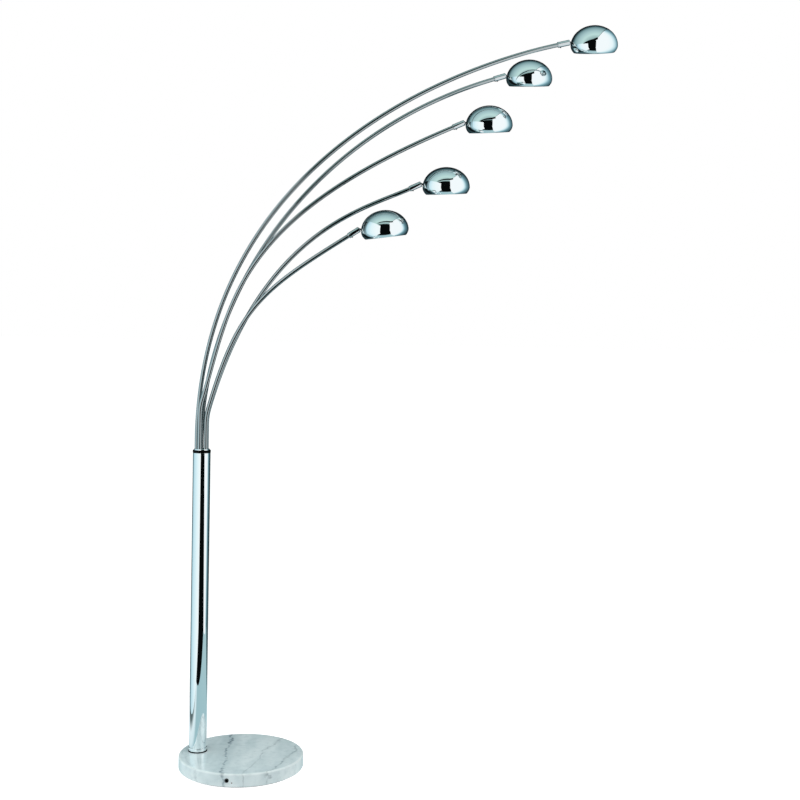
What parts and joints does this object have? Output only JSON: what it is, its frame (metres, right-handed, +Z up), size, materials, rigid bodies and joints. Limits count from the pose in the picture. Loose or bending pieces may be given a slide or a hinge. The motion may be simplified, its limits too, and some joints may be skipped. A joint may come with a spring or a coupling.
{
  "type": "arc floor lamp",
  "caption": "Floor lamp with bent chrome arms fanning from a pole on a round marble base, each arm carrying a small domed shade on a friction ball.",
  "frame": {"origin": "centre of the flat underside of the base pad, on the floor", "axes": "+Z up the pole, +X the side that the arms reach over, +Y away from the viewer who has the arms to the right"},
  "size_m": [1.0254, 0.3435, 1.8157],
  "materials": {
    "marble": "polished pale marble with grey veins",
    "felt": "black felt pad",
    "chrome": "mirror chrome plating on steel",
    "black_ring": "gloss black",
    "black_steel": "blackened steel",
    "steel": "plain machined steel",
    "grommet_rubber": "soft black rubber",
    "ceramic": "glazed white ceramic",
    "bulb_glass": "frosted glass"
  },
  "bodies": {
    "stand": {"marble_base": "marble", "base_pad": "felt", "base_bolt": "steel", "base_washer": "steel", "cord_grommet": "grommet_rubber", "foot_collar": "chrome", "foot_plug": "steel", "pole_tube": "chrome", "arm_block": "steel", "thrust_plate": "steel", "pole_cap": "chrome", "head_ring": "black_ring"},
    "arm_1": {"arm_1_tube": "chrome", "arm_1_sleeve": "chrome", "arm_1_set_screw": "black_steel"},
    "seat_1": {"head_1_ball_seat": "black_steel"},
    "head_1": {"head_1_shade": "chrome", "head_1_ball_stud": "steel", "head_1_lock_nut": "steel", "head_1_lamp_holder": "ceramic", "head_1_bulb": "bulb_glass"},
    "arm_2": {"arm_2_tube": "chrome", "arm_2_sleeve": "chrome", "arm_2_set_screw": "black_steel"},
    "seat_2": {"head_2_ball_seat": "black_steel"},
    "head_2": {"head_2_shade": "chrome", "head_2_ball_stud": "steel", "head_2_lock_nut": "steel", "head_2_lamp_holder": "ceramic", "head_2_bulb": "bulb_glass"},
    "arm_3": {"arm_3_tube": "chrome", "arm_3_sleeve": "chrome", "arm_3_set_screw": "black_steel"},
    "seat_3": {"head_3_ball_seat": "black_steel"},
    "head_3": {"head_3_shade": "chrome", "head_3_ball_stud": "steel", "head_3_lock_nut": "steel", "head_3_lamp_holder": "ceramic", "head_3_bulb": "bulb_glass"},
    "arm_4": {"arm_4_tube": "chrome", "arm_4_sleeve": "chrome", "arm_4_set_screw": "black_steel"},
    "seat_4": {"head_4_ball_seat": "black_steel"},
    "head_4": {"head_4_shade": "chrome", "head_4_ball_stud": "steel", "head_4_lock_nut": "steel", "head_4_lamp_holder": "ceramic", "head_4_bulb": "bulb_glass"},
    "arm_5": {"arm_5_tube": "chrome", "arm_5_sleeve": "chrome", "arm_5_set_screw": "black_steel"},
    "seat_5": {"head_5_ball_seat": "black_steel"},
    "head_5": {"head_5_shade": "chrome", "head_5_ball_stud": "steel", "head_5_lock_nut": "steel", "head_5_lamp_holder": "ceramic", "head_5_bulb": "bulb_glass"}
  },
  "joints": [
    {"name": "arm_1_swivel", "type": "hinge", "parent": "stand", "child": "arm_1", "pos_m": [-0.1205, 0.01, 0.76], "axis": [0, 0, 1], "range_deg": [-80, 2]},
    {"name": "head_1_twist", "type": "hinge", "parent": "arm_1", "child": "seat_1", "pos_m": [0.75749, 0.05601, 1.77127], "axis": [0.971, 0.0509, 0.2334], "range_deg": [-40, 40]},
    {"name": "head_1_tilt", "type": "hinge", "parent": "seat_1", "child": "head_1", "pos_m": [0.75749, 0.05601, 1.77127], "axis": [-0.1109, 0.9614, 0.2517], "range_deg": [-35, 18]},
    {"name": "arm_2_swivel", "type": "hinge", "parent": "stand", "child": "arm_2", "pos_m": [-0.11186, 0.02189, 0.76], "axis": [0, 0, 1], "range_deg": [-2, 85]},
    {"name": "head_2_twist", "type": "hinge", "parent": "arm_2", "child": "seat_2", "pos_m": [0.60857, 0.12314, 1.70115], "axis": [0.9396, 0.1321, 0.3156], "range_deg": [-40, 40]},
    {"name": "head_2_tilt", "type": "hinge", "parent": "seat_2", "child": "head_2", "pos_m": [0.60857, 0.12314, 1.70115], "axis": [-0.1987, 0.9616, 0.1892], "range_deg": [-35, 13]},
    {"name": "arm_3_swivel", "type": "hinge", "parent": "stand", "child": "arm_3", "pos_m": [-0.11186, -0.00189, 0.76], "axis": [0, 0, 1], "range_deg": [-85, 5]},
    {"name": "head_3_twist", "type": "hinge", "parent": "arm_3", "child": "seat_3", "pos_m": [0.50767, 0.04687, 1.57239], "axis": [0.9093, 0.0716, 0.4099], "range_deg": [-40, 40]},
    {"name": "head_3_tilt", "type": "hinge", "parent": "seat_3", "child": "head_3", "pos_m": [0.50767, 0.04687, 1.57239], "axis": [-0.1448, 0.9779, 0.1505], "range_deg": [-35, 8]},
    {"name": "arm_4_swivel", "type": "hinge", "parent": "stand", "child": "arm_4", "pos_m": [-0.09789, 0.01735, 0.76], "axis": [0, 0, 1], "range_deg": [-3, 70]},
    {"name": "head_4_twist", "type": "hinge", "parent": "arm_4", "child": "seat_4", "pos_m": [0.40626, 0.03055, 1.42116], "axis": [0.9075, 0.0238, 0.4195], "range_deg": [-40, 40]},
    {"name": "head_4_tilt", "type": "hinge", "parent": "seat_4", "child": "head_4", "pos_m": [0.40626, 0.03055, 1.42116], "axis": [-0.0771, 0.9909, 0.1106], "range_deg": [-35, 6]},
    {"name": "arm_5_swivel", "type": "hinge", "parent": "stand", "child": "arm_5", "pos_m": [-0.09789, 0.00265, 0.76], "axis": [0, 0, 1], "range_deg": [-70, 3]},
    {"name": "head_5_twist", "type": "hinge", "parent": "arm_5", "child": "seat_5", "pos_m": [0.26143, -0.00362, 1.30671], "axis": [0.8404, -0.0147, 0.5417], "range_deg": [-40, 40]},
    {"name": "head_5_tilt", "type": "hinge", "parent": "seat_5", "child": "head_5", "pos_m": [0.26143, -0.00362, 1.30671], "axis": [-0.0298, 0.9969, 0.0733], "range_deg": [-12, 3]}
  ]
}
